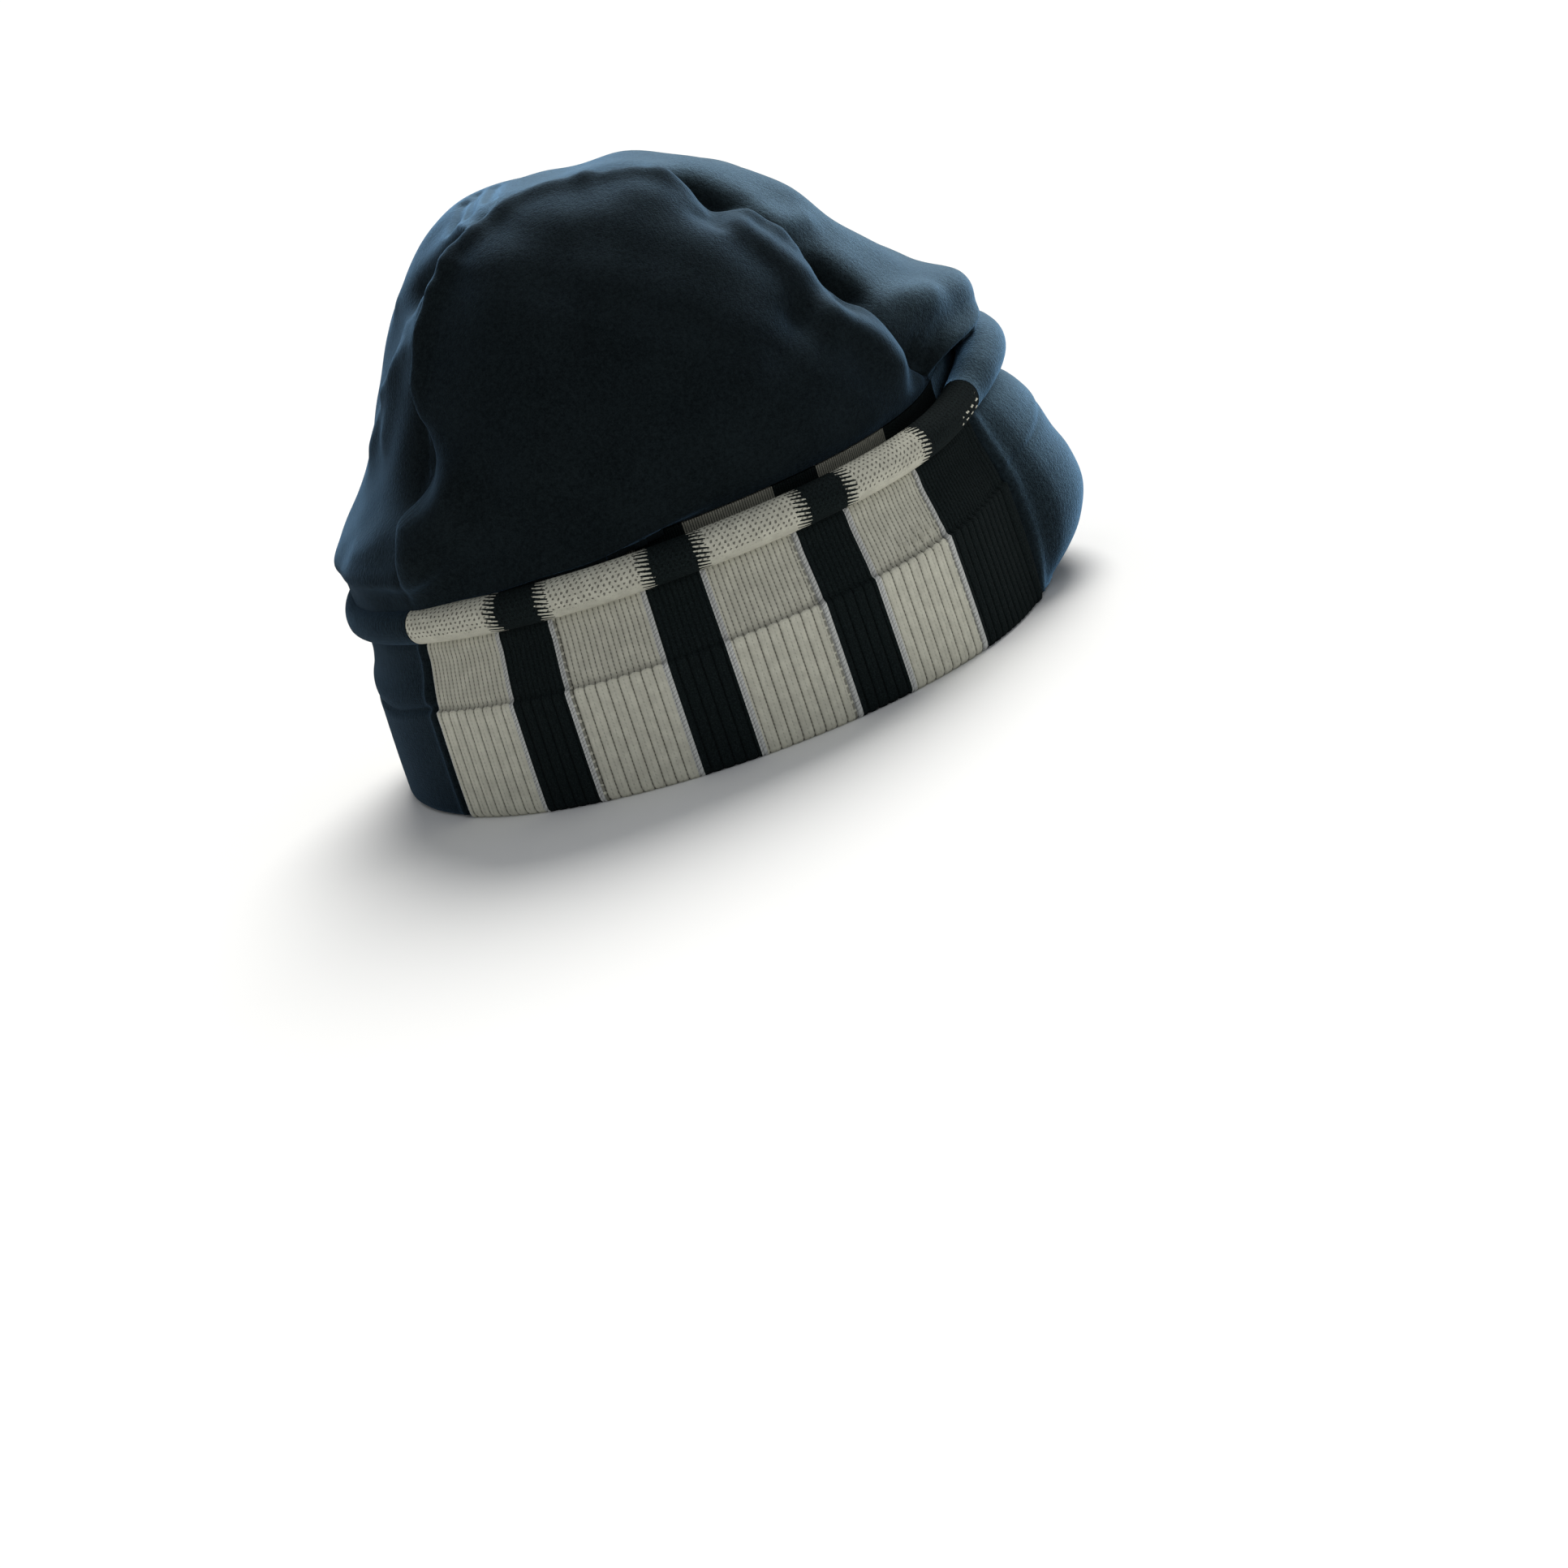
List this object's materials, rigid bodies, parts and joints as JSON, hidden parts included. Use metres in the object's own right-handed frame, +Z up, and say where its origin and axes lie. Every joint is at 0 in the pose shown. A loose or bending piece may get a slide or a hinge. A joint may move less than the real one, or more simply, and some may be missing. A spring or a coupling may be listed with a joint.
{
  "type": "beanie",
  "caption": "Close knitted beanie with a fleece crown and a turned-up band of striped rib that ends in an outward roll, open below for the head.",
  "frame": {"origin": "centre of the bounding box seen from above, on the plane that the rim rests on", "axes": "+Z up through the crown, -Y towards the wearer's front, -X towards the wearer's right"},
  "size_m": [0.172, 0.2122, 0.156],
  "materials": {
    "crown_fleece": "brushed navy fleece, matt, with short fuzz",
    "panel_fleece": "smooth navy fleece jersey, matt",
    "striped_knit": "cotton rib knit with vertical cream and navy stripes, matt"
  },
  "bodies": {
    "root": {"crown_side_right": "crown_fleece", "crown_side_left": "crown_fleece", "crown_strip": "crown_fleece", "cuff_side_right": "striped_knit", "cuff_side_left": "striped_knit", "cuff_front": "panel_fleece", "cuff_back": "panel_fleece"}
  },
  "joints": []
}
